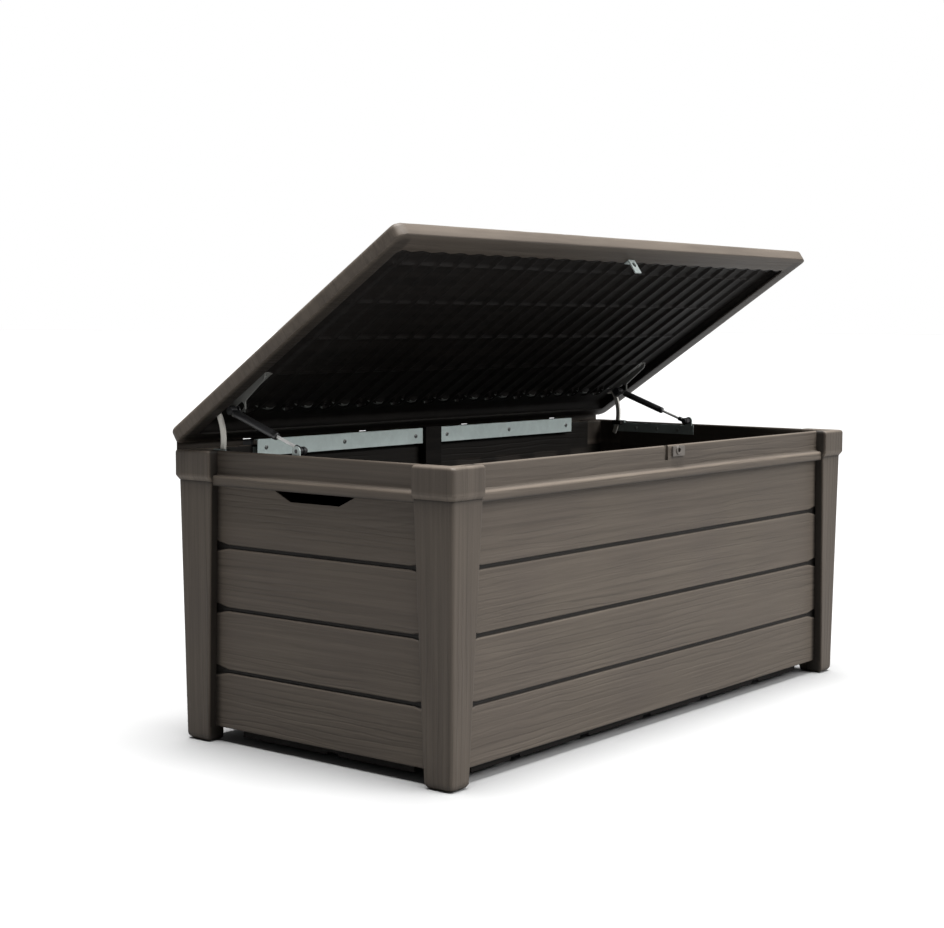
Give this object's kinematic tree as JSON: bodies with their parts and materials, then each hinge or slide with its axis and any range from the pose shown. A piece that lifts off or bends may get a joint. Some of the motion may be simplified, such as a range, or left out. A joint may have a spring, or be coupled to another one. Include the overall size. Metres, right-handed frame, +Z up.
{
  "type": "deck storage box",
  "caption": "Panelled resin deck box with plank walls, corner posts, hinged crowned lid on gas struts, rear steel rails and a padlock eye.",
  "frame": {"origin": "on the ground under the middle of the box with its lid held open", "axes": "+Z up, +X along the long side to the right seen from the front, -Y out of the front with the padlock eye"},
  "size_m": [1.451, 0.7042, 0.9711],
  "materials": {
    "resin": "matt, embossed wood grain",
    "dark_resin": "matt",
    "galvanised_steel": "galvanised",
    "lock_steel": "satin",
    "rod_steel": "polished",
    "strut_paint": "satin black",
    "screw_steel": "zinc plated"
  },
  "bodies": {
    "box": {"floor_panel": "dark_resin", "front_panel": "resin", "rear_panel": "resin", "left_panel": "resin", "right_panel": "resin", "front_left_post": "resin", "front_right_post": "resin", "rear_left_post": "resin", "rear_right_post": "resin", "front_left_cap": "resin", "front_right_cap": "resin", "rear_left_cap": "resin", "rear_right_cap": "resin", "centre_support": "dark_resin", "left_rail": "galvanised_steel", "right_rail": "galvanised_steel", "rail_screws": "screw_steel", "lock_plate": "lock_steel", "left_handle_cup": "dark_resin", "right_handle_cup": "dark_resin", "left_side_plate": "galvanised_steel", "right_side_plate": "galvanised_steel", "left_stay_guide": "dark_resin", "right_stay_guide": "dark_resin", "left_pivot_pin": "strut_paint", "right_pivot_pin": "strut_paint", "side_plate_screws": "screw_steel", "hinge_1_body_leaf": "strut_paint", "hinge_2_body_leaf": "strut_paint", "hinge_3_body_leaf": "strut_paint", "hinge_4_body_leaf": "strut_paint", "hinge_1_pin": "rod_steel", "hinge_2_pin": "rod_steel", "hinge_3_pin": "rod_steel", "hinge_4_pin": "rod_steel", "hinge_screws": "screw_steel"},
    "lid": {"lid_shell": "resin", "lid_liner": "dark_resin", "lid_tongue": "lock_steel", "hinge_1_lid_leaf": "strut_paint", "hinge_2_lid_leaf": "strut_paint", "hinge_3_lid_leaf": "strut_paint", "hinge_4_lid_leaf": "strut_paint", "left_lid_bracket": "galvanised_steel", "right_lid_bracket": "galvanised_steel", "left_stay_arm": "galvanised_steel", "right_stay_arm": "galvanised_steel", "lid_screws": "screw_steel"},
    "left_rod": {"left_strut_rod": "rod_steel", "left_rod_eye": "strut_paint"},
    "left_cylinder": {"left_strut_cylinder": "strut_paint", "left_cylinder_eye": "strut_paint", "left_clevis_pin": "strut_paint"},
    "right_rod": {"right_strut_rod": "rod_steel", "right_rod_eye": "strut_paint"},
    "right_cylinder": {"right_strut_cylinder": "strut_paint", "right_cylinder_eye": "strut_paint", "right_clevis_pin": "strut_paint"}
  },
  "joints": [
    {"name": "lid_hinge", "type": "hinge", "parent": "box", "child": "lid", "pos_m": [0, 0.34415, 0.5784], "axis": [-1, 0, 0], "range_deg": [-33.74, 16.26]},
    {"name": "left_strut_swing", "type": "hinge", "parent": "box", "child": "left_rod", "pos_m": [-0.665, 0.04285, 0.567], "axis": [1, 0, 0], "range_deg": [-21.56, 10.54]},
    {"name": "left_strut_stroke", "type": "slide", "parent": "left_rod", "child": "left_cylinder", "axis": [0, 0.9414, 0.3373], "range_m": [-0.04467, 0.02178]},
    {"name": "right_strut_swing", "type": "hinge", "parent": "box", "child": "right_rod", "pos_m": [0.665, 0.04285, 0.567], "axis": [1, 0, 0], "range_deg": [-21.56, 10.54]},
    {"name": "right_strut_stroke", "type": "slide", "parent": "right_rod", "child": "right_cylinder", "axis": [0, 0.9414, 0.3373], "range_m": [-0.04467, 0.02178]}
  ],
  "couplings": [
    {"joint": "left_strut_swing", "follows": "lid_hinge", "ratio": 0.63},
    {"joint": "left_strut_stroke", "follows": "lid_hinge", "m_per_rad": 0.075},
    {"joint": "right_strut_swing", "follows": "lid_hinge", "ratio": 0.63},
    {"joint": "right_strut_stroke", "follows": "lid_hinge", "m_per_rad": 0.075}
  ]
}
